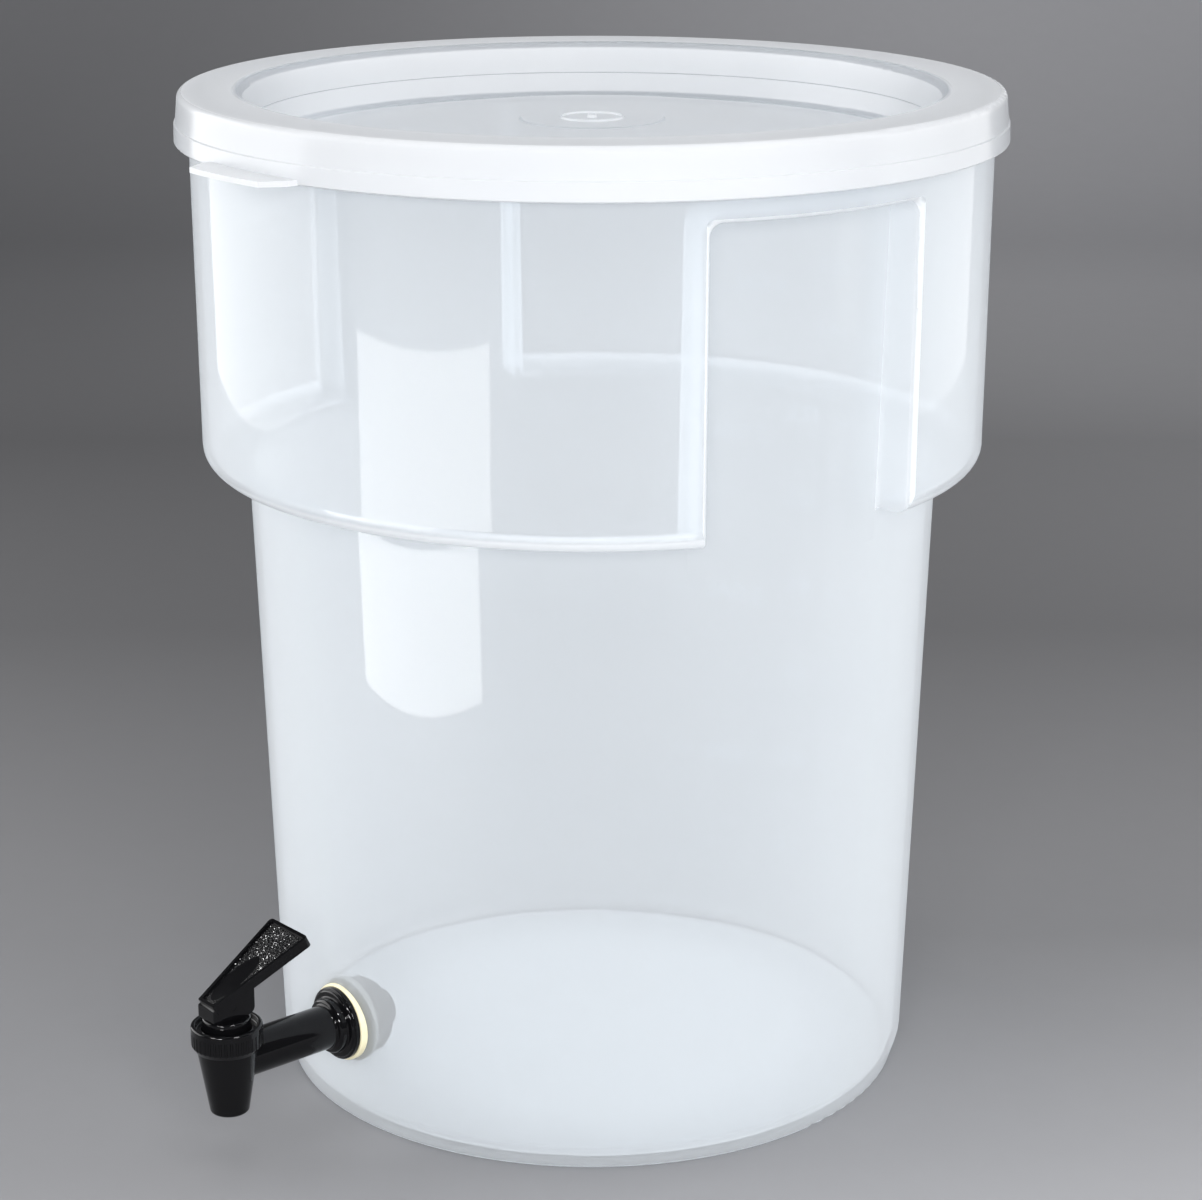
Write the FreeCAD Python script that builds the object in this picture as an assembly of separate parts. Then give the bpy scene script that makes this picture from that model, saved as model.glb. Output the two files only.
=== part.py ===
"""A plastic fermenting bucket: stepped tub with two grip recesses, lift-off lid and a lever tap.

Units are millimetres, +Z is up.  The origin is on the tub's axis, in the plane that its base stands on.
The tap points along -Y, and the lid's thumb tab is above it.
"""

import FreeCAD, Part
import math
import os

V = FreeCAD.Vector
UP = V(0, 0, 1)
ORIGIN = V(0, 0, 0)

# Tub
TUB_WALL = 2.6
FLOOR = 3.0
BASE_R = 123.3
HEEL_R = 126.6
HEEL_Z = 10.5
SHOULDER_Z = 248.4
LOWER_TOP_R = 133.9
BAND_R = 151.3
BAND_TOP_R = 152.3
RIM_Z = 388.0
BEAD_R = 154.2
BEAD_Z = 381.0

# Grip recesses, one each side, a little off square to the tap
GRIP_TURN = -8.2
GRIP_INNER_HALF = 41.5
GRIP_OUTER_HALF = 44.5
GRIP_CEILING_IN = 365.4
GRIP_CEILING_OUT = 363.0
GRIP_FLOOR_Z = 236.0
GRIP_IN_X = 118.0
GRIP_OUT_X = 165.0
GRIP_CORNER = 5.0
GRIP_LIP = 3.0
GRIP_RUN_OUT = 12.0
GRIP_CLEAR = 1.0
GRIP_TOP_Z = 379.0

# Lid
LID_TOP = 391.0
LID_WALL = 2.2
SKIRT_Z = 372.4
SKIRT_R = 157.8
LIP_TOP = 379.3
LID_EDGE_R = 156.0
RIM_INNER_R = 132.4
STEP_Z = 378.6
STEP_R = 129.7
WELL_FOOT_R = 127.2
WELL_Z = 368.8
DOME_Z = 378.4
DOME_RADIUS = 800.0
GATE_RING_R = 12.2
DIMPLE_R = 27.0
SEAL_RIB_R = 149.2
SEAL_RIB_Z = 379.5
TAB_HALF = 26.1
TAB_TIP_HALF = 20.6
TAB_R = 169.5
TAB_THICK = 2.0
TAB_CORNER = 5.0

# Tap
SHANK_Z = 42.3
SHANK_R = 8.5
BARREL_Y = -180.5
FLANGE_Y = -129.4
FLANGE_R = 14.25
TAIL_R = 7.9
TAIL_ROOT_R = 7.3
TAIL_END_Y = -107.0
THREAD_PITCH = 2.0
PORT_R = 4.5
TAP_HOLE_R = 8.2
NOZZLE_Z = 21.8
NOZZLE_R = 7.3
OUTLET_R = 5.2
THROAT_R = 4.2
THROAT_Z = 33.5
SEAT_Z = 36.0
CHAMBER_R = 7.8
BARREL_TOP_R = 11.5
NECK_R = 11.2
COLLAR_Z = 47.6
NECK_TOP_Z = 51.8
GASKET_R = 15.2
WASHER_R = 16.5
WASHER_Y = -122.0
NUT_THICK = 9.0
NUT_FLATS = 26.0
SEAT_SLACK = 0.03

# Bonnet, stem and lever
COLLAR_R = 13.5
RIM_TOP_Z = 57.6
TROUGH_Z = 55.4
TROUGH_R = 11.6
BOSS_R = 9.0
BOSS_Z = 60.5
WEB_Z = 52.6
SPRING_POCKET_R = 7.0
SPRING_TOP_Z = 58.3
GUIDE_R = 5.2
GUIDE_Z = 51.0
STEM_R = 2.95
STEM_BORE_R = 3.0
O_RING_R = 4.1
O_RING_Z = 51.8
O_RING_THICK = 1.5
FLUTES = 40
FLUTE_R = 0.55
SHOULDER_R = 6.6
SHOULDER_LOW_Z = 45.4
SHOULDER_TOP_Z = 47.0
SPRING_R = 6.1
SPRING_WIRE_R = 0.32
SPRING_TURNS = 6
CUP_R = 6.2
CUP_TOP_Z = 43.0
SEAT_GAP = 0.1
PIVOT_Z = 65.4
PIN_R = 1.25
PIN_HALF = 4.9
TONGUE_HALF = 2.0
TONGUE_Z = 57.9
HEEL_CLEARANCE = 0.2
SEAM_TURN = 45.0
PIN_SLACK = 0.05
BLOCK_HALF = 5.0
BLOCK_FRONT = -9.0
BLOCK_BACK = 9.5
HEEL_ROUND = 3.0
PADDLE_START_Z = 2.8
PADDLE_RISE = 27.1
PADDLE_LENGTH = 43.5
PADDLE_THICK = 4.2
PADDLE_WIDE_HALF = 12.0
PADDLE_BORDER = 1.3
PADDLE_DISH = 0.9
SLOT_HALF = 2.3
SLOT_FRONT = -3.4
SLOT_BACK = 7.0
SLOT_TOP = 3.5


def corner(before, here, after, radius):
    """Start, middle and end of the arc that rounds the corner at here."""
    to_before = (before - here).normalize()
    to_after = (after - here).normalize()
    half = to_before.getAngle(to_after) / 2
    reach = radius / math.tan(half)
    middle_line = (to_before + to_after).normalize()
    middle = here + middle_line * (radius / math.sin(half) - radius)
    return here + to_before * reach, middle, here + to_after * reach


def outline(points, place):
    """A closed wire through (a, b) points; a third number rounds that corner."""
    corners = [place(p[0], p[1]) for p in points]
    spans = []
    for i, point in enumerate(points):
        if len(point) == 3:
            after = corners[(i + 1) % len(points)]
            spans.append(corner(corners[i - 1], corners[i], after, point[2]))
        else:
            spans.append((corners[i],))
    edges = []
    for i, span in enumerate(spans):
        if len(span) == 3:
            edges.append(Part.Arc(*span).toShape())
        edges.append(Part.LineSegment(span[-1], spans[(i + 1) % len(spans)][0]).toShape())
    return Part.Wire(edges)


def turned(points, centre=ORIGIN):
    """A solid turned about a vertical axis, from (radius, height) points, with its seam at +Y."""
    wire = outline(points, lambda r, z: centre + V(0, r, z))
    return Part.Face(wire).revolve(centre, UP, 360)


def turned_along_tap(points):
    """A solid turned about the tap's shank axis, from (radius, y) points."""
    axis_point = V(0, 0, SHANK_Z)
    wire = outline(points, lambda r, y: axis_point + V(r, y, 0))
    return Part.Face(wire).revolve(axis_point, V(0, 1, 0), 360)


def slab(points, low, high):
    """A plan outline of (x, y) points, extruded between two heights."""
    wire = outline(points, lambda x, y: V(x, y, low))
    return Part.Face(wire).extrude(V(0, 0, high - low))


def side_slab(points, half, centre):
    """A side outline of (y, z) points about centre, extruded half each way along X."""
    wire = outline(points, lambda y, z: centre + V(-half, y, z))
    return Part.Face(wire).extrude(V(2 * half, 0, 0))


def cylinder(radius, low, high, y=0.0):
    return Part.makeCylinder(radius, high - low, V(0, y, low), UP)


def cross_cylinder(radius, half, centre):
    return Part.makeCylinder(radius, 2 * half, centre - V(half, 0, 0), V(1, 0, 0))


def save(name, shape):
    shape.exportStep("parts/" + name + ".step")


# ---------------------------------------------------------------- tub

def lower_wall_radius(z):
    """Outer radius of the tub's lower wall, or of its cone carried on upwards."""
    slope = (LOWER_TOP_R - HEEL_R) / (SHOULDER_Z - HEEL_Z)
    return HEEL_R + slope * (z - HEEL_Z)


def band_radius(z):
    """Outer radius of the wide upper band, which tapers a little."""
    slope = (BAND_TOP_R - BAND_R) / (BEAD_Z - SHOULDER_Z)
    return BAND_R + slope * (z - SHOULDER_Z)


def lower_cone(inset):
    """The lower wall's cone carried up past the grips, inset from its outside."""
    low = GRIP_FLOOR_Z - FLOOR
    return turned([
        (0, low),
        (lower_wall_radius(low) - inset, low),
        (lower_wall_radius(RIM_Z) - inset, RIM_Z),
        (0, RIM_Z),
    ])


def grip_half(x):
    """Half the width of a grip recess at distance x from the tub's axis."""
    inner_x = math.sqrt(LOWER_TOP_R**2 - GRIP_INNER_HALF**2)
    outer_x = math.sqrt(BAND_R**2 - GRIP_OUTER_HALF**2)
    slope = (GRIP_OUTER_HALF - GRIP_INNER_HALF) / (outer_x - inner_x)
    return GRIP_INNER_HALF + slope * (x - inner_x)


def grip_plan(z):
    """Plan outline of a grip at height z, its mouth rounded out onto the band."""
    band = band_radius(z)
    x = math.sqrt(band**2 - GRIP_OUTER_HALF**2)
    y = grip_half(x)
    run_x = x - (GRIP_RUN_OUT * y - GRIP_CLEAR * x) / band
    run_y = y + GRIP_RUN_OUT * x / band
    near = grip_half(GRIP_IN_X)
    return outline([
        (GRIP_IN_X, -near),
        (x, -y, GRIP_LIP),
        (run_x, -run_y),
        (GRIP_OUT_X, -run_y),
        (GRIP_OUT_X, run_y),
        (run_x, run_y),
        (x, y, GRIP_LIP),
        (GRIP_IN_X, near),
    ], lambda a, b: V(a, b, z))


def grip_ceiling_z(r):
    """Height of a grip's sloping ceiling at radius r."""
    slope = (GRIP_CEILING_IN - GRIP_CEILING_OUT) / (BAND_R - LOWER_TOP_R)
    return GRIP_CEILING_OUT + slope * (band_radius(GRIP_CEILING_OUT) - r)


def grip_under_ceiling():
    """Everything below a grip's ceiling, whose outer edge is rounded up onto the band."""
    band = band_radius(GRIP_CEILING_OUT)
    inner = GRIP_IN_X / 2
    outer = GRIP_OUT_X + GRIP_RUN_OUT
    return turned([
        (inner, GRIP_FLOOR_Z),
        (outer, GRIP_FLOOR_Z),
        (outer, GRIP_TOP_Z),
        (band + 2 * GRIP_CLEAR, GRIP_TOP_Z),
        (band, GRIP_CEILING_OUT, GRIP_LIP),
        (inner, grip_ceiling_z(inner)),
    ])


def grip_outside(angle):
    """The space that one grip recess takes out of the tub's outside."""
    lofted = Part.makeLoft([grip_plan(GRIP_FLOOR_Z), grip_plan(GRIP_TOP_Z)], True, True)
    block = lofted.common(grip_under_ceiling())
    block = block.makeFillet(GRIP_CORNER, ceiling_side_edges(block))
    block.rotate(ORIGIN, UP, angle)
    return block.cut(lower_cone(0))


def grip_inside(angle):
    """The same recess one wall thickness larger, taken out of the tub's hollow."""
    near = grip_half(GRIP_IN_X) + TUB_WALL
    far = grip_half(GRIP_OUT_X) + TUB_WALL
    plan = [(GRIP_IN_X, -near), (GRIP_OUT_X, -far), (GRIP_OUT_X, far), (GRIP_IN_X, near)]
    ceiling = turned([
        (0, GRIP_FLOOR_Z),
        (GRIP_OUT_X + GRIP_RUN_OUT, GRIP_FLOOR_Z),
        (GRIP_OUT_X + GRIP_RUN_OUT, grip_ceiling_z(GRIP_OUT_X + GRIP_RUN_OUT) + TUB_WALL),
        (0, grip_ceiling_z(0) + TUB_WALL),
    ])
    block = slab(plan, GRIP_FLOOR_Z, RIM_Z).common(ceiling)
    block = block.makeFillet(GRIP_CORNER + TUB_WALL, ceiling_side_edges(block))
    block.rotate(ORIGIN, UP, angle)
    return block.cut(lower_cone(TUB_WALL))


def ceiling_side_edges(block):
    """The two edges where a grip's ceiling meets its sides."""
    return [
        e for e in block.Edges
        if abs(e.CenterOfMass.z - GRIP_CEILING_IN) < 2 * GRIP_CORNER
        and abs(e.CenterOfMass.y) > GRIP_INNER_HALF - GRIP_LIP
        and abs(e.CenterOfMass.y) < GRIP_OUTER_HALF + GRIP_LIP
        and e.BoundBox.XLength > GRIP_CORNER
        and e.BoundBox.YLength < 2 * GRIP_CORNER
    ]


def make_tub():
    wall = TUB_WALL
    inside_heel = lower_wall_radius(HEEL_Z) - wall
    ledge_z = SHOULDER_Z + wall
    outside = turned([
        (0, 0),
        (BASE_R, 0, 2.0),
        (HEEL_R, HEEL_Z, 8.0),
        (LOWER_TOP_R, SHOULDER_Z, 2.0),
        (BAND_R, SHOULDER_Z, 8.0),
        (band_radius(BEAD_Z), BEAD_Z - 0.6),
        (BEAD_R, BEAD_Z, 0.5),
        (BEAD_R, RIM_Z, 1.4),
        (0, RIM_Z),
    ])
    inside = turned([
        (0, FLOOR),
        (BASE_R - wall + 0.8, FLOOR, 5.0),
        (inside_heel, HEEL_Z, 8.0),
        (lower_wall_radius(ledge_z) - wall, ledge_z, 4.0),
        (BAND_R - wall, ledge_z, 6.0),
        (BAND_TOP_R - wall, RIM_Z - 1.5),
        (BAND_TOP_R - wall + 1.2, RIM_Z + 1.0),
        (0, RIM_Z + 1.0),
    ])
    for angle in (GRIP_TURN, GRIP_TURN + 180):
        outside = outside.cut(grip_outside(angle))
        inside = inside.cut(grip_inside(angle))
    tap_hole = Part.makeCylinder(TAP_HOLE_R, BASE_R, V(0, -BASE_R / 2, SHANK_Z), V(0, -1, 0))
    return outside.cut(inside).cut(tap_hole)


def wall_block(inset):
    """The tub's lower wall as a full cone at the tap, inset from its outside."""
    high = 2 * SHANK_Z
    return turned([
        (0, 0),
        (lower_wall_radius(0) - inset, 0),
        (lower_wall_radius(high) - inset, high),
        (0, high),
    ])


# ---------------------------------------------------------------- lid

def lid_plate():
    """Rim, skirt, well wall and domed floor, turned in one piece."""
    under = WELL_Z - LID_WALL
    return turned([
        (0, DOME_Z + 1.4),
        (1.6, DOME_Z + 1.4, 0.5),
        (2.0, DOME_Z),
        (GATE_RING_R - 1.0, DOME_Z),
        (GATE_RING_R - 0.8, DOME_Z + 0.8, 0.2),
        (GATE_RING_R, DOME_Z + 0.8, 0.2),
        (GATE_RING_R + 0.2, DOME_Z),
        (DIMPLE_R, DOME_Z),
        (DIMPLE_R + 0.8, DOME_Z - 0.5),
        (2.6 * DIMPLE_R, DOME_Z - 0.9, DOME_RADIUS / 4),
        (WELL_FOOT_R, WELL_Z, 3.0),
        (STEP_R, STEP_Z, 0.4),
        (STEP_R + 0.5, STEP_Z + 0.1, 0.2),
        (RIM_INNER_R, LID_TOP, 3.4),
        (LID_EDGE_R, LID_TOP, 2.6),
        (SKIRT_R - 0.8, LIP_TOP + 0.4),
        (SKIRT_R - 0.2, LIP_TOP, 0.3),
        (SKIRT_R, SKIRT_Z, 0.6),
        (SKIRT_R - LID_WALL, SKIRT_Z, 0.6),
        (LID_EDGE_R - 1.2, LID_TOP - LID_WALL, 1.0),
        (SEAL_RIB_R, LID_TOP - LID_WALL),
        (SEAL_RIB_R - 0.1, SEAL_RIB_Z, 0.5),
        (SEAL_RIB_R - 1.7, SEAL_RIB_Z, 0.5),
        (SEAL_RIB_R - 2.0, LID_TOP - LID_WALL),
        (RIM_INNER_R + LID_WALL, LID_TOP - LID_WALL, 1.2),
        (STEP_R + LID_WALL + 0.5, STEP_Z),
        (WELL_FOOT_R + LID_WALL - 0.4, under, 4.0),
        (2.6 * DIMPLE_R, DOME_Z - 0.9 - LID_WALL, DOME_RADIUS / 4),
        (0, DOME_Z - 0.5 - LID_WALL),
    ])


def thumb_tab():
    plan = [
        (-TAB_HALF, -TAB_R + 2 * TAB_CORNER),
        (-TAB_TIP_HALF, -TAB_R, TAB_CORNER),
        (TAB_TIP_HALF, -TAB_R, TAB_CORNER),
        (TAB_HALF, -TAB_R + 2 * TAB_CORNER),
        (TAB_HALF, 0),
        (-TAB_HALF, 0),
    ]
    top = SKIRT_Z + TAB_THICK
    tab = slab(plan, SKIRT_Z, top).common(cylinder(TAB_R, SKIRT_Z, top))
    return tab.cut(cylinder(SKIRT_R - LID_WALL / 2, SKIRT_Z, top))


def make_lid():
    return lid_plate().fuse(thumb_tab()).removeSplitter()


# ---------------------------------------------------------------- tap body and its seals

def thread_rings(y_from, y_to, crest, root):
    """(radius, y) points of a run of thread ridges, from y_from to y_to."""
    points = []
    count = int((y_to - y_from) / THREAD_PITCH)
    for i in range(count):
        y = y_from + i * THREAD_PITCH
        points += [(root, y + 0.3), (crest, y + 0.9), (crest, y + 1.3), (root, y + 1.9)]
    return points


def shank():
    """Thread, flange, hub and tube along the tap's horizontal axis."""
    inside_wall = FLANGE_Y + 6.0
    return turned_along_tap([
        (0, BARREL_Y),
        (SHANK_R, BARREL_Y),
        (SHANK_R, FLANGE_Y - 6.6, 1.0),
        (10.6, FLANGE_Y - 6.2, 1.4),
        (10.9, FLANGE_Y - 3.2, 0.6),
        (13.2, FLANGE_Y - 2.9, 0.8),
        (13.4, FLANGE_Y - 2.0, 0.3),
        (FLANGE_R, FLANGE_Y - 1.9, 0.6),
        (FLANGE_R, FLANGE_Y),
        (TAIL_R, FLANGE_Y),
        (TAIL_R, inside_wall),
        *thread_rings(inside_wall, TAIL_END_Y - 1.0, TAIL_R, TAIL_ROOT_R),
        (TAIL_ROOT_R, TAIL_END_Y, 0.4),
        (0, TAIL_END_Y),
    ])


def barrel():
    return turned([
        (0, NOZZLE_Z),
        (NOZZLE_R, NOZZLE_Z, 1.3),
        (BARREL_TOP_R, COLLAR_Z - 0.3),
        (NECK_R, COLLAR_Z - 0.3),
        (NECK_R, NECK_TOP_Z),
        (0, NECK_TOP_Z),
    ], V(0, BARREL_Y, 0))


def waterway():
    """Port, chamber, throat and outlet, as one solid to cut away."""
    port_length = TAIL_END_Y - BARREL_Y
    port = Part.makeCylinder(PORT_R, port_length, V(0, BARREL_Y, SHANK_Z), V(0, 1, 0))
    well = cylinder(CHAMBER_R, SEAT_Z, NECK_TOP_Z, BARREL_Y)
    throat = cylinder(THROAT_R, THROAT_Z, SEAT_Z, BARREL_Y)
    outlet = cylinder(OUTLET_R, NOZZLE_Z, THROAT_Z, BARREL_Y)
    return port.fuse([well, throat, outlet])


def make_tap_body():
    joined = barrel().fuse(shank()).removeSplitter()
    collar_room = cylinder(COLLAR_R + 0.3, COLLAR_Z - 0.3, BOSS_Z, BARREL_Y)
    collar_room = collar_room.cut(cylinder(NECK_R, COLLAR_Z - 0.3, BOSS_Z, BARREL_Y))
    return joined.cut(collar_room).cut(waterway())


def make_outer_gasket():
    """Ring squeezed between the flange and the tub's curved wall."""
    ring = turned_along_tap([
        (TAP_HOLE_R, FLANGE_Y),
        (GASKET_R, FLANGE_Y, 0.7),
        (GASKET_R, FLANGE_Y + 2 * TUB_WALL),
        (TAP_HOLE_R, FLANGE_Y + 2 * TUB_WALL),
    ])
    return ring.cut(wall_block(-SEAT_SLACK))


def make_inner_washer():
    ring = turned_along_tap([
        (TAP_HOLE_R, WASHER_Y),
        (WASHER_R, WASHER_Y, 0.7),
        (WASHER_R, WASHER_Y - 2 * TUB_WALL),
        (TAP_HOLE_R, WASHER_Y - 2 * TUB_WALL),
    ])
    return ring.common(wall_block(TUB_WALL + SEAT_SLACK))


def make_shank_nut():
    hexagon = []
    for i in range(6):
        angle = math.radians(60 * i)
        reach = NUT_FLATS / 2 / math.cos(math.radians(30))
        hexagon.append((reach * math.cos(angle), reach * math.sin(angle), 1.2))
    far_y = WASHER_Y + NUT_THICK
    wire = outline(hexagon, lambda x, z: V(x, WASHER_Y, SHANK_Z + z))
    nut = Part.Face(wire).extrude(V(0, NUT_THICK, 0))
    crown = turned_along_tap([
        (0, WASHER_Y),
        (NUT_FLATS / 2 + 2.0, WASHER_Y),
        (NUT_FLATS / 2 + 2.0, far_y - 1.6),
        (NUT_FLATS / 2 - 0.4, far_y),
        (0, far_y),
    ])
    collar = turned_along_tap([
        (0, WASHER_Y),
        (NUT_FLATS / 2 + 2.0, WASHER_Y),
        (NUT_FLATS / 2 + 2.0, WASHER_Y + 1.8, 0.6),
        (0, WASHER_Y + 1.8),
    ])
    bore = Part.makeCylinder(TAIL_R + 0.1, NUT_THICK, V(0, WASHER_Y, SHANK_Z), V(0, 1, 0))
    return nut.common(crown).fuse(collar).removeSplitter().cut(bore)


# ---------------------------------------------------------------- valve

def make_bonnet():
    """Fluted cap screwed over the barrel's neck, with the stem's guide and the lever's boss."""
    centre = V(0, BARREL_Y, 0)
    cap = turned([
        (STEM_BORE_R, BOSS_Z),
        (BOSS_R, BOSS_Z, 0.8),
        (BOSS_R + 0.2, TROUGH_Z, 0.6),
        (TROUGH_R, TROUGH_Z, 0.6),
        (TROUGH_R + 0.2, RIM_TOP_Z, 0.4),
        (COLLAR_R, RIM_TOP_Z, 0.8),
        (COLLAR_R, COLLAR_Z + 2.2, 1.0),
        (NECK_R + 0.9, COLLAR_Z, 0.4),
        (NECK_R + 0.15, COLLAR_Z),
        (NECK_R + 0.15, WEB_Z),
        (SPRING_POCKET_R, WEB_Z),
        (SPRING_POCKET_R, SPRING_TOP_Z),
        (GUIDE_R, SPRING_TOP_Z),
        (GUIDE_R, GUIDE_Z),
        (STEM_BORE_R, GUIDE_Z),
        (STEM_BORE_R, O_RING_Z),
        (O_RING_R, O_RING_Z),
        (O_RING_R, O_RING_Z + O_RING_THICK),
        (STEM_BORE_R, O_RING_Z + O_RING_THICK),
    ], centre)
    flutes = []
    for i in range(FLUTES):
        flute = cylinder(FLUTE_R, COLLAR_Z - 1.0, RIM_TOP_Z - 2.6, BARREL_Y)
        flute.translate(V(COLLAR_R + 0.2, 0, 0))
        flute.rotate(centre, UP, 360 * i / FLUTES)
        flutes.append(flute)
    return cap.cut(Part.makeCompound(flutes))


def make_bonnet_seal():
    ring = [(CHAMBER_R + 0.3, NECK_TOP_Z), (NECK_R, NECK_TOP_Z), (NECK_R, WEB_Z), (CHAMBER_R + 0.3, WEB_Z)]
    return turned(ring, V(0, BARREL_Y, 0))


def make_stem_seal():
    top = O_RING_Z + O_RING_THICK
    return turned([
        (STEM_BORE_R, O_RING_Z, 0.3),
        (O_RING_R, O_RING_Z, 0.3),
        (O_RING_R, top, 0.3),
        (STEM_BORE_R, top, 0.3),
    ], V(0, BARREL_Y, 0))


def make_valve_spring():
    low = SHOULDER_TOP_Z + SPRING_WIRE_R + 0.02
    height = SPRING_TOP_Z - SPRING_WIRE_R - 0.02 - low
    helix = Part.makeHelix(height / SPRING_TURNS, height, SPRING_R)
    helix.translate(V(0, BARREL_Y, low))
    section = Part.Wire(Part.makeCircle(SPRING_WIRE_R, V(SPRING_R, BARREL_Y, low), V(0, 1, 0)))
    return Part.Wire(helix.Edges).makePipeShell([section], True, True)


def make_valve_stem():
    """Button end for the cup, spring shoulder, round shaft and flat tongue for the lever's pin."""
    centre = V(0, BARREL_Y, 0)
    shaft = turned([
        (0, SEAT_Z + 2.4),
        (3.8, SEAT_Z + 2.4, 0.8),
        (3.8, SEAT_Z + 5.0, 0.6),
        (2.4, SEAT_Z + 5.4),
        (2.4, SHOULDER_LOW_Z),
        (SHOULDER_R, SHOULDER_LOW_Z, 0.4),
        (SHOULDER_R, SHOULDER_TOP_Z, 0.4),
        (STEM_R, SHOULDER_TOP_Z),
        (STEM_R, PIVOT_Z + STEM_R),
        (0, PIVOT_Z + STEM_R),
    ], centre)
    shaft.rotate(centre, UP, SEAM_TURN)
    tongue_top = PIVOT_Z + STEM_R
    for side in (-1, 1):
        low_x = TONGUE_HALF if side > 0 else -2 * STEM_R - TONGUE_HALF
        flat = Part.makeBox(2 * STEM_R, 4 * STEM_R, tongue_top - TONGUE_Z + 1)
        flat.translate(V(low_x, BARREL_Y - 2 * STEM_R, TONGUE_Z))
        shaft = shaft.cut(flat)
    pivot = V(0, BARREL_Y, PIVOT_Z)
    reach = 2 * SHOULDER_R
    low_corner = V(-reach / 2, BARREL_Y - reach / 2, PIVOT_Z - 2 * reach)
    rounded = Part.makeBox(reach, reach, 2 * reach, low_corner).fuse(cross_cylinder(STEM_R, reach / 2, pivot))
    return shaft.common(rounded).cut(cross_cylinder(PIN_R + PIN_SLACK, STEM_R, pivot))


def make_seat_cup():
    """Soft cup snapped over the stem's button; its lower face closes the throat."""
    low = SEAT_Z + SEAT_GAP
    cup = turned([
        (0, low),
        (CUP_R, low, 0.8),
        (CUP_R, CUP_TOP_Z - 2.4, 1.2),
        (CUP_R - 1.6, CUP_TOP_Z, 0.8),
        (0, CUP_TOP_Z),
    ], V(0, BARREL_Y, 0))
    return cup.cut(make_valve_stem())


# ---------------------------------------------------------------- lever

def paddle():
    """Flat thumb plate, narrow over the outlet and wide over the tub's side, with a dished top."""
    thick = PADDLE_THICK
    plate = slab([
        (-BLOCK_HALF, 0, 0.6),
        (BLOCK_HALF, 0, 0.6),
        (PADDLE_WIDE_HALF, PADDLE_LENGTH, 1.6),
        (-PADDLE_WIDE_HALF, PADDLE_LENGTH, 1.6),
    ], -thick, 0)
    border = PADDLE_BORDER
    dish = slab([
        (border - BLOCK_HALF, border, 0.4),
        (BLOCK_HALF - border, border, 0.4),
        (PADDLE_WIDE_HALF - border, PADDLE_LENGTH - border, 0.8),
        (border - PADDLE_WIDE_HALF, PADDLE_LENGTH - border, 0.8),
    ], -PADDLE_DISH, thick)
    plate = plate.cut(dish)
    plate.rotate(ORIGIN, V(1, 0, 0), PADDLE_RISE)
    plate.translate(V(0, BARREL_Y + BLOCK_FRONT, PIVOT_Z + PADDLE_START_Z))
    return plate


def make_lever():
    pivot = V(0, BARREL_Y, PIVOT_Z)
    slope = math.tan(math.radians(PADDLE_RISE))
    buried = PADDLE_THICK / 2
    front_top = PADDLE_START_Z - buried
    back_top = front_top + slope * (BLOCK_BACK - BLOCK_FRONT)
    heel = BOSS_Z + HEEL_CLEARANCE - PIVOT_Z
    block = side_slab([
        (BLOCK_FRONT, heel, 1.0),
        (BLOCK_BACK, heel, HEEL_ROUND),
        (BLOCK_BACK, back_top),
        (BLOCK_FRONT, front_top),
    ], BLOCK_HALF, pivot)
    slot = side_slab([
        (SLOT_FRONT, heel - 1.0),
        (SLOT_BACK, heel - 1.0),
        (SLOT_BACK, SLOT_TOP - 1.0, 1.0),
        (SLOT_FRONT, SLOT_TOP, 1.0),
    ], SLOT_HALF, pivot)
    pin_hole = cross_cylinder(PIN_R, BLOCK_HALF + 1, pivot)
    return block.fuse(paddle()).removeSplitter().cut(slot).cut(pin_hole)


def make_lever_pin():
    return cross_cylinder(PIN_R, PIN_HALF, V(0, BARREL_Y, PIVOT_Z))


PIECES = {
    "tub": make_tub,
    "lid": make_lid,
    "tap_body": make_tap_body,
    "outer_gasket": make_outer_gasket,
    "inner_washer": make_inner_washer,
    "shank_nut": make_shank_nut,
    "bonnet": make_bonnet,
    "bonnet_seal": make_bonnet_seal,
    "stem_seal": make_stem_seal,
    "valve_spring": make_valve_spring,
    "valve_stem": make_valve_stem,
    "seat_cup": make_seat_cup,
    "lever": make_lever,
    "lever_pin": make_lever_pin,
}

os.makedirs("parts", exist_ok=True)
for name, make in PIECES.items():
    piece = make()
    print(name, "valid", piece.isValid(), "solids", len(piece.Solids), "volume", round(piece.Volume))
    save(name, piece)
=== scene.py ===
"""Looks for the plastic fermenting bucket: materials, volume marks, studio and camera."""

import math

import bmesh
import bpy
from mathutils import Matrix, Vector, noise


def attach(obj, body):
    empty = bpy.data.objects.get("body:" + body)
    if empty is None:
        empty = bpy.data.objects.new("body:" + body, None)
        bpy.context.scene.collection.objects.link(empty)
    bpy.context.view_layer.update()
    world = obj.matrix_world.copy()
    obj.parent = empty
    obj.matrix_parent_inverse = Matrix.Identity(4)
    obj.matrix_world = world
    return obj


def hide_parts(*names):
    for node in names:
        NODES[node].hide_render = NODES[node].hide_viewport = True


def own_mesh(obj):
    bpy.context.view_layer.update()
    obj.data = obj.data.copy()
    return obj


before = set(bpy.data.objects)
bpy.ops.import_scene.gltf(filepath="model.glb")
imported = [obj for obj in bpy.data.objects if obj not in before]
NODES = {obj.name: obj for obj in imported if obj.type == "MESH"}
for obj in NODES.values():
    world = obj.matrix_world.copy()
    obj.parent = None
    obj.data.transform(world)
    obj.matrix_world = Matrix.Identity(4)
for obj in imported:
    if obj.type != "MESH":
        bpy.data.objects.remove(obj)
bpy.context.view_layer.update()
MM = 0.001

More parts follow.
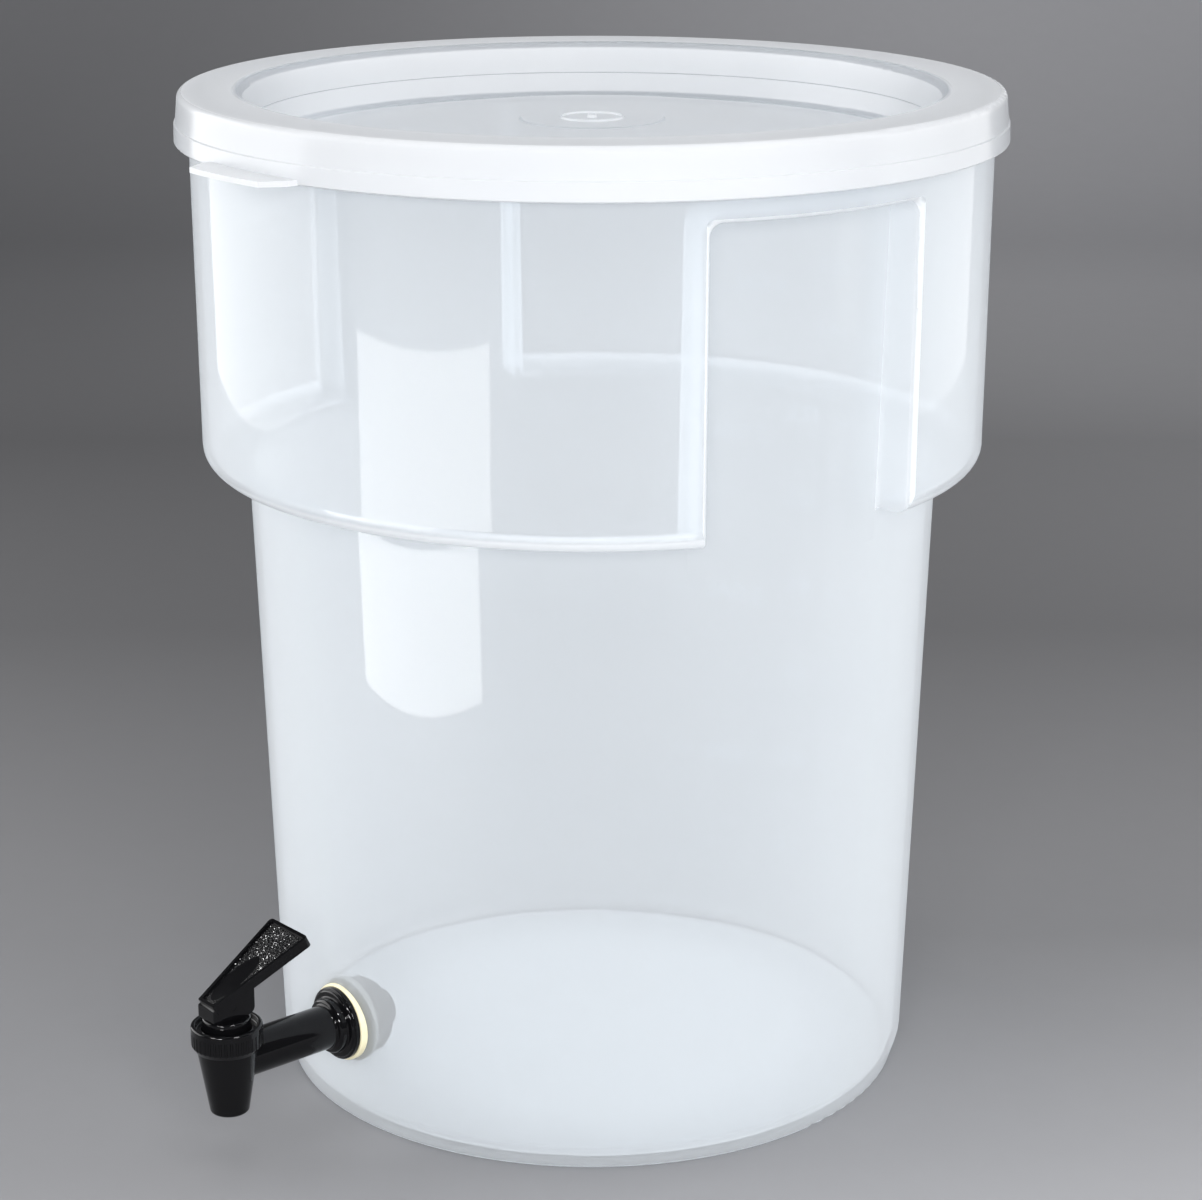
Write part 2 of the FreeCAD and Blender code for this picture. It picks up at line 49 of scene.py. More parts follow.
# Camera: distance and height from the tub's foot, in metres, and angles in degrees
CAMERA_AWAY = 1.1627
CAMERA_HEIGHT = 0.5449
CAMERA_AZIMUTH = 49.3
CAMERA_PITCH = 17.13
CAMERA_YAW = 0.167
CAMERA_LENS = 91.51
SENSOR = 36.0

# Tub shape, as in the CAD model
WALL = 2.6 * MM
FLOOR_Z = 3.0 * MM
HEEL_Z = 10.5 * MM
HEEL_R = 126.6 * MM
SHOULDER_Z = 248.4 * MM
SHOULDER_R = 133.9 * MM
BAND_Z = 256.0 * MM
BAND_R = 151.3 * MM
BAND_TOP_R = 152.3 * MM
BAND_TOP_Z = 381.0 * MM
WELL_R = 135.0 * MM

# Volume marks, moulded on the outside of the back wall
LITRE = 0.001
GALLON = 3.785 * LITRE
GALLON_ANGLE = 111.0
LITRE_ANGLE = 97.0
TICK_ANGLE = 88.0
SHORT_TICK = 5.0
LONG_TICK = 8.0
MARK_PROUD = 0.4 * MM
MARK_SUNK = 0.2 * MM
DIGIT_HIGH = 7.5 * MM
STROKE = 0.9 * MM

# Painted light on the studio floor and wall, from in front of the bucket (0) to far behind it (1):
# greys that paint the lamps' falloff, lighter just in front of the bucket, painted shade in the middle
# distance, lighter again up the far wall, and lighter on the right than on the left
LEFT_PAINTED_LIGHT = ((0.0, 0.4), (0.12, 0.215), (0.24, 0.145), (0.35, 0.1),
              (0.5, 0.115), (0.69, 0.27), (1.0, 0.44))
RIGHT_PAINTED_LIGHT = ((0.0, 0.5), (0.12, 0.385), (0.2, 0.19), (0.35, 0.13),
               (0.5, 0.205), (0.69, 0.52), (1.0, 0.8))

# Milky plastic: the roughness away from its outer faces, how square to the axis (1 is straight out)
# a face has to be to count as outer, as flat, as a rounded corner or as the heel, and the shares of
# light that the body passes on at the heel
INSIDE_ROUGH = 0.35
OUTSIDE_FROM = 0.3
LEDGE_FROM, LEDGE_TO = 0.9, 0.5
CORNER_OUTER = (0.96, 0.85)
CORNER_INNER = (0.3, 0.6)
FLAT_FROM, FLAT_TO = 0.5, 0.1
HEEL_OUTER = (0.98, 0.9)
HEEL_INNER = (0.1, 0.3)
HEEL_GLOW = 0.85
WELL_EDGE = 1.0 * MM
WELL_MIDDLE, WELL_BORDER = 0.55 * WELL_R, 0.93 * WELL_R

# Thumb paddle of the tap's lever, as in the CAD model
BARREL_Y = -180.5 * MM
PADDLE_Y = BARREL_Y - 9.0 * MM
PADDLE_Z = 68.2 * MM
PADDLE_RISE = 27.1
PADDLE_LENGTH = 43.5 * MM
PADDLE_NARROW = 5.0 * MM
PADDLE_WIDE = 12.0 * MM
DISH_BORDER = 1.5 * MM
DISH_DEEP = 0.9 * MM
STIPPLE_CELL = 0.3 * MM
STIPPLE_HIGH = 0.2 * MM
STIPPLE_SKIN = 0.04 * MM
OVAL_MIDDLE = 15.0 * MM
OVAL_LONG = 12.0 * MM
OVAL_WIDE = 4.6 * MM

# Valve spring, as in the CAD model
SPRING_LOW = 47.02 * MM
SPRING_HIGH = 58.28 * MM
SPRING_R = 6.1 * MM
WIRE_R = 0.32 * MM
SPRING_TURNS = 7
END_PITCH = 0.68 * MM


# ---------------------------------------------------------------- materials

def new_material(name):
    """An empty material and its node tree, ready for a shader."""
    mat = bpy.data.materials.new(name)
    mat.use_nodes = True
    mat.node_tree.nodes.clear()
    return mat, mat.node_tree


def add_node(tree, kind, **sockets):
    """A shader node with its input sockets set by name, spaces written as underscores."""
    made = tree.nodes.new(kind)
    for key, value in sockets.items():
        made.inputs[key.replace("_", " ")].default_value = value
    return made


def noise_at(tree, scale, detail=3.0, roughness=0.5, stretch=(1, 1, 1)):
    """Noise in the object's own coordinates; returns its factor socket."""
    coords = tree.nodes.new("ShaderNodeTexCoord")
    mapping = tree.nodes.new("ShaderNodeMapping")
    mapping.inputs["Scale"].default_value = stretch
    texture = add_node(tree, "ShaderNodeTexNoise", Scale=scale, Detail=detail, Roughness=roughness)
    tree.links.new(coords.outputs["Object"], mapping.inputs["Vector"])
    tree.links.new(mapping.outputs["Vector"], texture.inputs["Vector"])
    return texture.outputs["Fac"]


def ramp(tree, factor, stops):
    """A colour ramp over factor, from (position, colour) stops."""
    made = tree.nodes.new("ShaderNodeValToRGB")
    elements = made.color_ramp.elements
    while len(elements) < len(stops):
        elements.new(1.0)
    for element, (position, colour) in zip(elements, stops):
        element.position = position
        element.color = (*colour, 1)
    tree.links.new(factor, made.inputs["Fac"])
    return made.outputs["Color"]


def spread(tree, factor, low, high):
    """Maps a 0 to 1 factor to low to high."""
    made = add_node(tree, "ShaderNodeMapRange")
    made.inputs["To Min"].default_value = low
    made.inputs["To Max"].default_value = high
    tree.links.new(factor, made.inputs["Value"])
    return made.outputs["Result"]


def bump(tree, factor, distance, strength=1.0):
    """Normals of a surface raised by factor, up to distance in metres."""
    made = add_node(tree, "ShaderNodeBump", Strength=strength, Distance=distance)
    tree.links.new(factor, made.inputs["Height"])
    return made.outputs["Normal"]


def plastic(tree, colour, rough, ior=1.5, **extra):
    """A Principled shader whose colour is a value or a socket and whose roughness may be too."""
    shader = add_node(tree, "ShaderNodeBsdfPrincipled", IOR=ior, **extra)
    for name, value in (("Base Color", colour), ("Roughness", rough)):
        if isinstance(value, bpy.types.NodeSocket):
            tree.links.new(value, shader.inputs[name])
        else:
            shader.inputs[name].default_value = value
    return shader


def finish_material(tree, shader):
    """Sends the shader to the material's surface."""
    out = tree.nodes.new("ShaderNodeOutputMaterial")
    tree.links.new(shader.outputs[0], out.inputs["Surface"])


def math_node(tree, operation, first, second=None):
    """A Math node; first is a socket and second a socket or a number."""
    made = tree.nodes.new("ShaderNodeMath")
    made.operation = operation
    tree.links.new(first, made.inputs[0])
    if isinstance(second, bpy.types.NodeSocket):
        tree.links.new(second, made.inputs[1])
    elif second is not None:
        made.inputs[1].default_value = second
    return made.outputs[0]


def smooth_step(tree, value, start, end):
    """0 at start, rising smoothly to 1 at end."""
    made = add_node(tree, "ShaderNodeMapRange")
    made.interpolation_type = "SMOOTHSTEP"
    made.inputs["From Min"].default_value = start
    made.inputs["From Max"].default_value = end
    tree.links.new(value, made.inputs["Value"])
    return made.outputs["Result"]


def vector_node(tree, operation, first, second=None):
    """A Vector Math node between a socket and a socket or a fixed vector."""
    made = tree.nodes.new("ShaderNodeVectorMath")
    made.operation = operation
    tree.links.new(first, made.inputs[0])
    if isinstance(second, bpy.types.NodeSocket):
        tree.links.new(second, made.inputs[1])
    elif second is not None:
        made.inputs[1].default_value = second
    return made


def radial_facing(tree):
    """1 where the surface faces straight out from the tub's axis or back at it, 0 where it is square
    to that; the distance from the axis; and 1 on the outside skin, 0 on every other side of a wall."""
    geometry = tree.nodes.new("ShaderNodeNewGeometry")
    flat = vector_node(tree, "MULTIPLY", geometry.outputs["Position"], (1, 1, 0)).outputs[0]
    unit = vector_node(tree, "NORMALIZE", flat).outputs[0]
    facing = vector_node(tree, "DOT_PRODUCT", unit, geometry.outputs["Normal"]).outputs["Value"]
    away = vector_node(tree, "LENGTH", flat).outputs["Value"]
    front = math_node(tree, "LESS_THAN", geometry.outputs["Backfacing"], 0.5)
    skin = math_node(tree, "MULTIPLY", math_node(tree, "GREATER_THAN", facing, OUTSIDE_FROM), front)
    return math_node(tree, "ABSOLUTE", facing), away, skin


def between(tree, value, outer, inner):
    """1 in the band of values between two smooth edges, each a (start, end) pair, and 0 outside it."""
    rising = smooth_step(tree, value, *outer)
    return math_node(tree, "MULTIPLY", rising, smooth_step(tree, value, *inner))


def inside_well(tree, away):
    """1 nearer the tub's axis than WELL_R, 0 further out."""
    return smooth_step(tree, away, WELL_R + WELL_EDGE, WELL_R)


def see_through(tree, clear, ledge_clear, corner_clear, well_clear, rim_clear, grazing):
    """Share of light that goes straight through each face. Rounded corners are thicker, so cloudier;
    inside radius WELL_R flat faces go from well_clear in the middle to rim_clear at their edge, and a
    wall met at a slant hides more."""
    facing, away, _skin = radial_facing(tree)
    ledge = smooth_step(tree, facing, LEDGE_FROM, LEDGE_TO)
    corner = between(tree, facing, CORNER_OUTER, CORNER_INNER)
    well = spread(tree, smooth_step(tree, away, WELL_MIDDLE, WELL_BORDER), well_clear, rim_clear)
    flat_share = tree.nodes.new("ShaderNodeMix")
    flat_share.inputs["A"].default_value = ledge_clear
    tree.links.new(inside_well(tree, away), flat_share.inputs["Factor"])
    tree.links.new(well, flat_share.inputs["B"])
    mixed = tree.nodes.new("ShaderNodeMix")
    mixed.inputs["A"].default_value = clear
    tree.links.new(ledge, mixed.inputs["Factor"])
    tree.links.new(flat_share.outputs["Result"], mixed.inputs["B"])
    rounded = tree.nodes.new("ShaderNodeMix")
    rounded.inputs["B"].default_value = corner_clear
    tree.links.new(corner, rounded.inputs["Factor"])
    tree.links.new(mixed.outputs["Result"], rounded.inputs["A"])
    slant = tree.nodes.new("ShaderNodeLayerWeight")
    slant.inputs["Blend"].default_value = 0.5
    kept = spread(tree, math_node(tree, "POWER", slant.outputs["Facing"], 2.0), 1.0, 1.0 - grazing)
    return math_node(tree, "MULTIPLY", rounded.outputs["Result"], kept)


def milky_material(name, colour, deep, passes, shares, rough, glow, floor_glow):
    """Milky polyethylene: glossy skin, cloudy body that passes light, and some clear sight through.
    passes tints the sight through, shares are see_through's numbers, rough is the outer skin's, and
    glow and floor_glow are the shares of the body that pass light on, on walls and on flat floors."""
    mat, tree = new_material(name)
    cloud = noise_at(tree, 14.0, 4.0)
    body = ramp(tree, cloud, ((0.3, colour), (0.7, deep)))
    fine = noise_at(tree, 420.0, 2.0)
    facing, away, outside = radial_facing(tree)
    gloss = tree.nodes.new("ShaderNodeMix")
    gloss.inputs["A"].default_value = INSIDE_ROUGH
    tree.links.new(outside, gloss.inputs["Factor"])
    tree.links.new(spread(tree, fine, rough, rough * 1.6), gloss.inputs["B"])
    skin = plastic(tree, body, gloss.outputs["Result"], 1.5)
    tree.links.new(bump(tree, noise_at(tree, 7.0, 0.0), 0.0001, 0.3), skin.inputs["Normal"])
    through = tree.nodes.new("ShaderNodeBsdfTranslucent")
    tree.links.new(body, through.inputs["Color"])
    lit = tree.nodes.new("ShaderNodeMixShader")
    within = inside_well(tree, away)
    flat = math_node(tree, "MULTIPLY", smooth_step(tree, facing, FLAT_FROM, FLAT_TO), within)
    heel = math_node(tree, "MULTIPLY", between(tree, facing, HEEL_OUTER, HEEL_INNER), within)
    own = spread(tree, flat, glow, floor_glow)
    heel_share = math_node(tree, "MULTIPLY", heel, HEEL_GLOW)
    tree.links.new(math_node(tree, "MAXIMUM", own, heel_share), lit.inputs["Fac"])
    tree.links.new(skin.outputs[0], lit.inputs[1])
    tree.links.new(through.outputs[0], lit.inputs[2])
    sight = tree.nodes.new("ShaderNodeBsdfTransparent")
    sight.inputs["Color"].default_value = (*passes, 1)
    mixed = tree.nodes.new("ShaderNodeMixShader")
    tree.links.new(see_through(tree, *shares), mixed.inputs["Fac"])
    tree.links.new(lit.outputs[0], mixed.inputs[1])
    tree.links.new(sight.outputs[0], mixed.inputs[2])
    finish_material(tree, mixed)
    return mat


def black_plastic(name):
    """Glossy black moulding with faint flow waviness and handling dust."""
    mat, tree = new_material(name)
    dust = noise_at(tree, 900.0, 5.0, 0.7)
    colour = ramp(tree, dust, ((0.62, (0.003, 0.003, 0.0035)), (0.9, (0.015, 0.015, 0.016))))
    flow = noise_at(tree, 160.0, 2.0)
    rough = spread(tree, flow, 0.05, 0.1)
    shader = plastic(tree, colour, rough, 1.5, Specular_IOR_Level=0.25)
    tree.links.new(bump(tree, flow, 0.00004, 0.4), shader.inputs["Normal"])
    finish_material(tree, shader)
    return mat


def soft_rubber(name, colour, deep, rough):
    """Silicone or rubber: soft sheen, slight mottling."""
    mat, tree = new_material(name)
    mottle = noise_at(tree, 300.0, 4.0)
    body = ramp(tree, mottle, ((0.3, colour), (0.75, deep)))
    shader = plastic(tree, body, spread(tree, mottle, rough, rough + 0.15), 1.43)
    tree.links.new(bump(tree, mottle, 0.00005, 0.4), shader.inputs["Normal"])
    finish_material(tree, shader)
    return mat


def wire_steel(name):
    """Drawn stainless wire with fine lengthwise scratches."""
    mat, tree = new_material(name)
    scratch = noise_at(tree, 1800.0, 3.0, 0.6, (1, 1, 0.1))
    body = ramp(tree, scratch, ((0.3, (0.62, 0.62, 0.64)), (0.8, (0.42, 0.42, 0.44))))
    shader = plastic(tree, body, spread(tree, scratch, 0.18, 0.38), 2.5, Metallic=1.0)
    finish_material(tree, shader)
    return mat


def paint_nodes():
    """Gives every CAD node its material."""
    cool = (0.965, 0.984, 1.0)
    tub_shares = (0.72, 0.6, 0.15, 0.25, 0.62, 0.8)
    lid_shares = (0.12, 0.06, 0.1, 0.64, 0.64, 0.6)
    tub_colours = (0.925, 0.937, 0.948), (0.912, 0.927, 0.94)
    lid_colours = (0.84, 0.85, 0.865), (0.82, 0.833, 0.85)
    tub = milky_material("tub_milk", *tub_colours, cool, tub_shares, 0.02, 0.45, 0.12)
    lid = milky_material("lid_milk", *lid_colours, cool, lid_shares, 0.13, 0.4, 0.4)
    black = black_plastic("tap_black")
    cream = soft_rubber("gasket_cream", (0.93, 0.87, 0.62), (0.86, 0.78, 0.52), 0.4)
    dark = soft_rubber("seal_black", (0.02, 0.02, 0.02), (0.035, 0.035, 0.035), 0.55)
    grey = soft_rubber("washer_grey", (0.3, 0.31, 0.3), (0.24, 0.25, 0.24), 0.5)
    pale = soft_rubber("seat_silicone", (0.8, 0.8, 0.76), (0.7, 0.7, 0.66), 0.45)
    acetal = soft_rubber("stem_acetal", (0.82, 0.81, 0.77), (0.74, 0.73, 0.69), 0.35)
    steel = wire_steel("spring_steel")
    looks = {
        "tub": tub,
        "lid": lid,
        "tap_body": black,
        "bonnet": black,
        "lever": black,
        "shank_nut": black,
        "outer_gasket": cream,
        "inner_washer": grey,
        "bonnet_seal": dark,
        "stem_seal": dark,
        "seat_cup": pale,
        "valve_stem": acetal,
        "valve_spring": steel,
        "lever_pin": black,
    }
    for node_name, mat in looks.items():
        NODES[node_name].data.materials.clear()
        NODES[node_name].data.materials.append(mat)
    return looks


# ---------------------------------------------------------------- pieces

def outer_radius(z):
    """The tub's outer radius at height z."""
    if z < BAND_Z:
        share = (z - HEEL_Z) / (SHOULDER_Z - HEEL_Z)
        return HEEL_R + (SHOULDER_R - HEEL_R) * share
    share = (z - BAND_Z) / (BAND_TOP_Z - BAND_Z)
    return BAND_R + (BAND_TOP_R - BAND_R) * share


def fill_heights(step, count):
    """Heights of the liquid after each of count equal steps of volume."""
    heights = []
    slice_high = 0.2 * MM
    z = FLOOR_Z
    held = 0.0
    while len(heights) < count and z < BAND_TOP_Z:
        held += math.pi * (outer_radius(z) - WALL) ** 2 * slice_high
        z += slice_high
        if held >= step * (len(heights) + 1):
            heights.append(z)
    return heights


def on_wall(angle, across, z, proud):
    """A point on the tub's outer wall, across metres round from angle (degrees) at height z."""
    radius = outer_radius(z) + proud
    turn = math.radians(angle) + across / radius
    return (radius * math.cos(turn), radius * math.sin(turn), z)


def add_tick(bm, angle, length, z):
    """A raised bar that runs round the wall."""
    columns = 8
    section = ((-1, -MARK_SUNK), (-0.7, MARK_PROUD), (0.7, MARK_PROUD), (1, -MARK_SUNK))
    rows = []
    for i in range(columns + 1):
        across = length * (i / columns - 0.5)
        spots = [on_wall(angle, across, z + side * STROKE / 2, proud) for side, proud in section]
        rows.append([bm.verts.new(spot) for spot in spots])
    for left, right in zip(rows, rows[1:]):
        for j in range(4):
            k = (j + 1) % 4
            bm.faces.new((left[j], right[j], right[k], left[k]))
    bm.faces.new(rows[0])
    bm.faces.new(list(reversed(rows[-1])))


def add_number(bm, text, angle, z):
    """Raised characters wrapped round the wall, read from outside the tub."""
    curve = bpy.data.curves.new("digits", "FONT")
    curve.body = text
    curve.align_x = "CENTER"
    curve.align_y = "CENTER"
    curve.size = 1.35 * DIGIT_HIGH
    curve.extrude = (MARK_PROUD + MARK_SUNK) / 2
    curve.resolution_u = 4
    holder = bpy.data.objects.new("digits", curve)
    bpy.context.scene.collection.objects.link(holder)
    bpy.context.view_layer.update()
    flat = bpy.data.meshes.new_from_object(holder)
    bpy.data.objects.remove(holder)
    bpy.data.curves.remove(curve)
    part = bmesh.new()
    part.from_mesh(flat)
    bpy.data.meshes.remove(flat)
    bmesh.ops.remove_doubles(part, verts=part.verts, dist=0.001 * MM)
    middle = (MARK_PROUD - MARK_SUNK) / 2
    for vert in part.verts:
        x, y, height = vert.co
        vert.co = on_wall(angle, x, z + y, middle + height)
    scratch = bpy.data.meshes.new("scratch")
    part.to_mesh(scratch)
    part.free()
    bm.from_mesh(scratch)
    bpy.data.meshes.remove(scratch)


def mesh_object(name, bm, mat):
    """Turns bm into an object with a material, with its faces turned outwards."""
    bmesh.ops.recalc_face_normals(bm, faces=bm.faces)
    mesh = bpy.data.meshes.new(name)
    bm.to_mesh(mesh)
    bm.free()
    mesh.materials.append(mat)
    made = bpy.data.objects.new(name, mesh)
    bpy.context.scene.collection.objects.link(made)
    return made


def make_volume_marks(mat):
    """Gallon and litre scale: numbers, long ticks at gallons and short ticks at litres."""
    bm = bmesh.new()
    for count, z in enumerate(fill_heights(GALLON, 5), 1):
        add_number(bm, f"{count} GAL", GALLON_ANGLE, z)
        add_tick(bm, GALLON_ANGLE + 10.0, LONG_TICK * MM, z)
    for count, z in enumerate(fill_heights(LITRE, 19), 1):
        long = count % 2 == 0
        add_tick(bm, TICK_ANGLE, (LONG_TICK if long else SHORT_TICK) * MM, z)
        if long:
            add_number(bm, f"{count} L", LITRE_ANGLE, z)
    marks = mesh_object("volume_marks", bm, mat)
    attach(marks, "tub")


def make_stipple(mat):
    """Grippy skin in the paddle's dish: fine bumps round a smooth oval."""
    bm = bmesh.new()
    rise = Matrix.Rotation(math.radians(PADDLE_RISE), 4, "X")
    place = Matrix.Translation((0, PADDLE_Y, PADDLE_Z)) @ rise
    floor = -DISH_DEEP
    rows = round((PADDLE_LENGTH - 2 * DISH_BORDER) / STIPPLE_CELL)
    columns = round(2 * PADDLE_WIDE / STIPPLE_CELL)
    grid = []
    for i in range(rows + 1):
        along = DISH_BORDER + (PADDLE_LENGTH - 2 * DISH_BORDER) * i / rows
        half = PADDLE_NARROW + (PADDLE_WIDE - PADDLE_NARROW) * along / PADDLE_LENGTH - DISH_BORDER
        row = []
        for j in range(columns + 1):
            across = half * (2 * j / columns - 1)
            rough = max(0.0, noise.noise(Vector((across, along, 0)) * 2200.0))
            away = math.hypot((along - OVAL_MIDDLE) / OVAL_LONG, across / OVAL_WIDE)
            fade = min(1.0, max(0.0, (away - 1.0) * 8.0))
            edge = min(i, rows - i, j, columns - j) == 0
            height = -STIPPLE_SKIN if edge else STIPPLE_SKIN + rough * fade * STIPPLE_HIGH * 2
            row.append(bm.verts.new(place @ Vector((across, along, floor + height))))
        grid.append(row)
    for low, high in zip(grid, grid[1:]):
        for j in range(columns):
            bm.faces.new((low[j], low[j + 1], high[j + 1], high[j]))
    right_side = [row[-1] for row in grid[1:-1]]
    left_side = [row[0] for row in grid[-2:0:-1]]
    border = grid[0] + right_side + grid[-1][::-1] + left_side
    bm.faces.new(border[::-1])
    skin = mesh_object("paddle_stipple", bm, mat)
    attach(skin, "lever")


def make_spring(mat):
    """Valve spring with closed end turns, carried by the spring body in place of the CAD spring, which
    it hides.
    """
    bm = bmesh.new()
    low = SPRING_LOW + WIRE_R
    open_turns = SPRING_TURNS - 2
    open_pitch = (SPRING_HIGH - WIRE_R - low - 2 * END_PITCH) / open_turns
    steps = 40 * SPRING_TURNS
    sides = 10
    rings = []
    for i in range(steps + 1):
        turn = SPRING_TURNS * i / steps
        closed = min(turn, 1.0) + max(0.0, turn - SPRING_TURNS + 1)
        z = low + END_PITCH * closed + open_pitch * (turn - closed)
        angle = 2 * math.pi * turn
        ring = []
        for j in range(sides):
            round_wire = 2 * math.pi * j / sides
            radius = SPRING_R + WIRE_R * math.cos(round_wire)
            x = radius * math.cos(angle)
            y = BARREL_Y + radius * math.sin(angle)
            ring.append(bm.verts.new((x, y, z + WIRE_R * math.sin(round_wire))))
        rings.append(ring)
    for low_ring, high_ring in zip(rings, rings[1:]):
        for j in range(sides):
            k = (j + 1) % sides
            bm.faces.new((low_ring[j], high_ring[j], high_ring[k], low_ring[k]))
    bm.faces.new(rings[0])
    bm.faces.new(rings[-1][::-1])
    for face in bm.faces:
        face.smooth = True
    coil = mesh_object("valve_coil", bm, mat)
    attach(coil, "spring")
    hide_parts("valve_spring")
    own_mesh(coil)


# ---------------------------------------------------------------- studio

def soft_light(name, azimuth, elevation, away, size, power, aim=(0, 0, 0.2)):
    """A rectangular soft light. Azimuth is measured round the tub from the camera, to the right."""
    data = bpy.data.lights.new(name, "AREA")
    data.shape = "RECTANGLE"
    data.size, data.size_y = size
    data.energy = power
    lamp = bpy.data.objects.new(name, data)
    bpy.context.scene.collection.objects.link(lamp)
    turn = math.radians(CAMERA_AZIMUTH + azimuth)
    lift = math.radians(elevation)
    flat = away * math.cos(lift)
    spot = Vector((flat * math.sin(turn), -flat * math.cos(turn), away * math.sin(lift)))
    lamp.location = spot + Vector(aim)
    lamp.rotation_euler = (-spot).to_track_quat("-Z", "Y").to_euler()
    lamp.visible_camera = False
    return lamp


def make_backdrop():
    """Pale grey floor that curves up into a wall behind the bucket, with painted light: its grey falls
    off away from the bucket, rises up the far wall and is lighter on the right.
    """
    mat, tree = new_material("studio_painted_light")
    grain = noise_at(tree, 60.0, 2.0)
    speck = ramp(tree, grain, ((0.0, (0.97, 0.97, 0.97)), (1.0, (1, 1, 1))))
    coords = tree.nodes.new("ShaderNodeTexCoord")
    parts = tree.nodes.new("ShaderNodeSeparateXYZ")
    tree.links.new(coords.outputs["Object"], parts.inputs[0])
    depth = add_node(tree, "ShaderNodeMapRange")
    depth.inputs["From Min"].default_value = -0.5
    depth.inputs["From Max"].default_value = 2.5
    tree.links.new(parts.outputs["Y"], depth.inputs["Value"])
    # Painted light: each ramp paints the lamps' falloff from in front of the bucket to the far wall.
    sides = []
    for greys in (LEFT_PAINTED_LIGHT, RIGHT_PAINTED_LIGHT):
        stops = [(at, (grey, grey, grey * 1.04)) for at, grey in greys]
        sides.append(ramp(tree, depth.outputs["Result"], stops))
    # Painted light: blends the darker left ramp into the brighter right one, a painted brighter right
    # side.
    painted_falloff = tree.nodes.new("ShaderNodeMix")
    painted_falloff.data_type = "RGBA"
    tree.links.new(smooth_step(tree, parts.outputs["X"], -0.5, 0.5), painted_falloff.inputs["Factor"])
    tree.links.new(sides[0], painted_falloff.inputs["A"])
    tree.links.new(sides[1], painted_falloff.inputs["B"])
    tint = tree.nodes.new("ShaderNodeMix")
    tint.data_type = "RGBA"
    tint.blend_type = "MULTIPLY"
    tint.inputs["Factor"].default_value = 1.0
    tree.links.new(painted_falloff.outputs["Result"], tint.inputs["A"])
    tree.links.new(speck, tint.inputs["B"])
    finish_material(tree, plastic(tree, tint.outputs["Result"], 0.75))
    half, front, back, high, bend = 5.0, -3.0, 3.0, 4.0, 1.2
    outline = [(front, 0.0), (back - bend, 0.0)]
    steps = 16
    for i in range(1, steps + 1):
        angle = math.radians(90 * i / steps)
        outline.append((back - bend + bend * math.sin(angle), bend - bend * math.cos(angle)))
    outline.append((back, high))
    mesh = bpy.data.meshes.new("backdrop")
    verts = [(x, y, z) for y, z in outline for x in (-half, half)]
    faces = [(2 * i, 2 * i + 1, 2 * i + 3, 2 * i + 2) for i in range(len(outline) - 1)]
    mesh.from_pydata(verts, [], faces)
    mesh.polygons.foreach_set("use_smooth", [True] * len(faces))
    mesh.materials.append(mat)
    backdrop = bpy.data.objects.new("backdrop", mesh)
    bpy.context.scene.collection.objects.link(backdrop)
    backdrop.rotation_euler = (0, 0, math.radians(CAMERA_AZIMUTH))


def make_world():
    """Dim, even, slightly cool light from all round."""
    world = bpy.data.worlds.new("studio")
    world.use_nodes = True
    background = world.node_tree.nodes["Background"]
    background.inputs["Color"].default_value = (0.75, 0.77, 0.8, 1)
    background.inputs["Strength"].default_value = 0.12
    bpy.context.scene.world = world


def soften_edges(node_name, width):
    """Rounds a black moulding's sharp edges a little, so that they catch the light."""
    part = NODES[node_name]
    weld = part.modifiers.new("weld", "WELD")
    weld.merge_threshold = 0.002 * MM
    bevel = part.modifiers.new("bevel", "BEVEL")
    bevel.width = width
    bevel.segments = 2
    bevel.limit_method = "ANGLE"
    bevel.angle_limit = math.radians(35)
    bevel.harden_normals = False


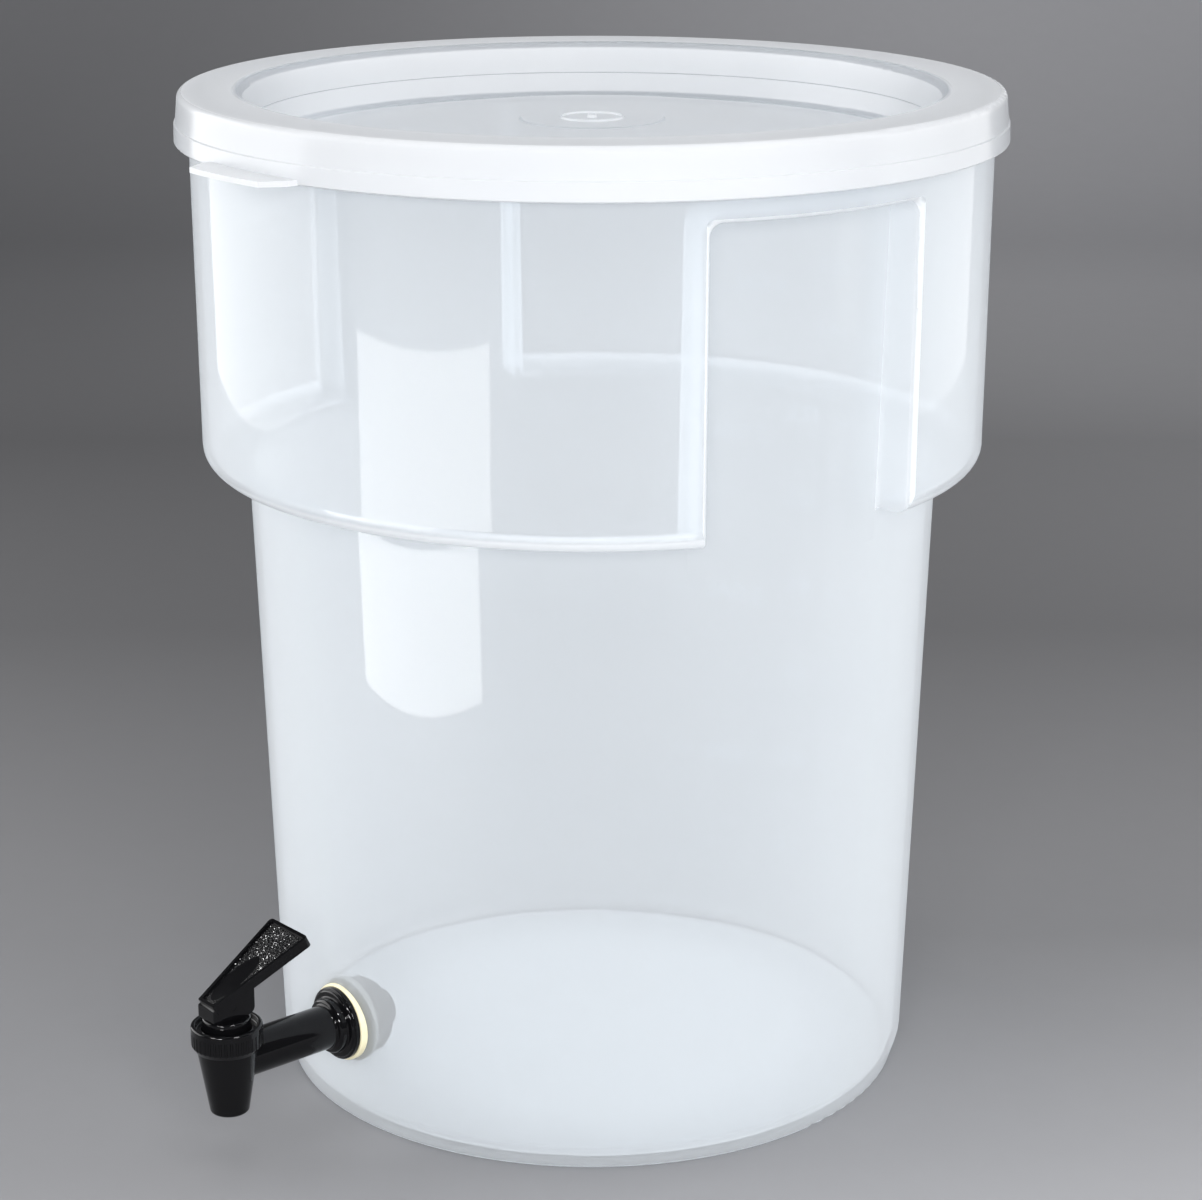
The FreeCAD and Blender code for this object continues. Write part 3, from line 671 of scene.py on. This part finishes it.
def make_camera():
    """Looks down at the bucket from the side of the tap and one grip."""
    data = bpy.data.cameras.new("camera")
    data.lens = CAMERA_LENS
    data.sensor_width = SENSOR
    camera = bpy.data.objects.new("camera", data)
    bpy.context.scene.collection.objects.link(camera)
    turn = math.radians(CAMERA_AZIMUTH)
    camera.location = (CAMERA_AWAY * math.sin(turn), -CAMERA_AWAY * math.cos(turn), CAMERA_HEIGHT)
    tilt = math.radians(90 - CAMERA_PITCH)
    camera.rotation_euler = (tilt, 0, turn - math.radians(CAMERA_YAW))
    bpy.context.scene.camera = camera


def make_lights():
    """Broad soft lights all round, small ones that only glint on the tap, and two upright cards that
    only the tub reflects, one in its wide band and one in its lower wall."""
    for name, azimuth, elevation, away, size, power in (
        ("left", -105, 8, 1.15, (1.2, 1.2), 17),
        ("right", 105, 8, 1.2, (1.2, 1.2), 10),
        ("front", 5, 16, 1.7, (1.2, 0.8), 34),
        ("top_back", 180, 60, 1.3, (1.2, 0.8), 2.6),
        ("overhead", 0, 85, 1.5, (1.4, 1.4), 13.5),
    ):
        lamp = soft_light(name, azimuth, elevation, away, size, power)
        lamp.visible_glossy = name not in ("front", "overhead")
    glinting = bpy.data.collections.new("glinting")
    for node_name in ("tap_body", "bonnet", "lever"):
        glinting.objects.link(NODES[node_name])
    glinting.objects.link(bpy.data.objects["paddle_stipple"])
    sparks = (("spark_left", -50, 40), ("spark_right", 35, 55), ("spark_low", -20, 12))
    for name, azimuth, elevation in sparks:
        spark = soft_light(name, azimuth, elevation, 1.3, (0.3, 0.1), 12.0)
        spark.visible_diffuse = False
        spark.light_linking.receiver_collection = glinting
    plastic_only = bpy.data.collections.new("plastic_only")
    plastic_only.objects.link(NODES["tub"])
    for name, azimuth, away, width, height, middle, power in (
        ("high_card", -43, 0.6, 0.39, 0.125, 0.148, 3.0),
        ("low_card", -53, 0.5, 0.37, 0.088, 0.065, 2.2),
    ):
        card = soft_light(name, azimuth, 0, away, (width, height), power, (0, 0, middle))
        card.light_linking.receiver_collection = plastic_only
        card.visible_diffuse = False
        card.visible_transmission = False


make_camera()
make_world()
make_backdrop()
looks = paint_nodes()
make_volume_marks(looks["tub"])
make_stipple(looks["lever"])
make_spring(looks["valve_spring"])
soften_edges("lever", 0.35 * MM)
make_lights()
bpy.context.scene.view_settings.view_transform = "Standard"
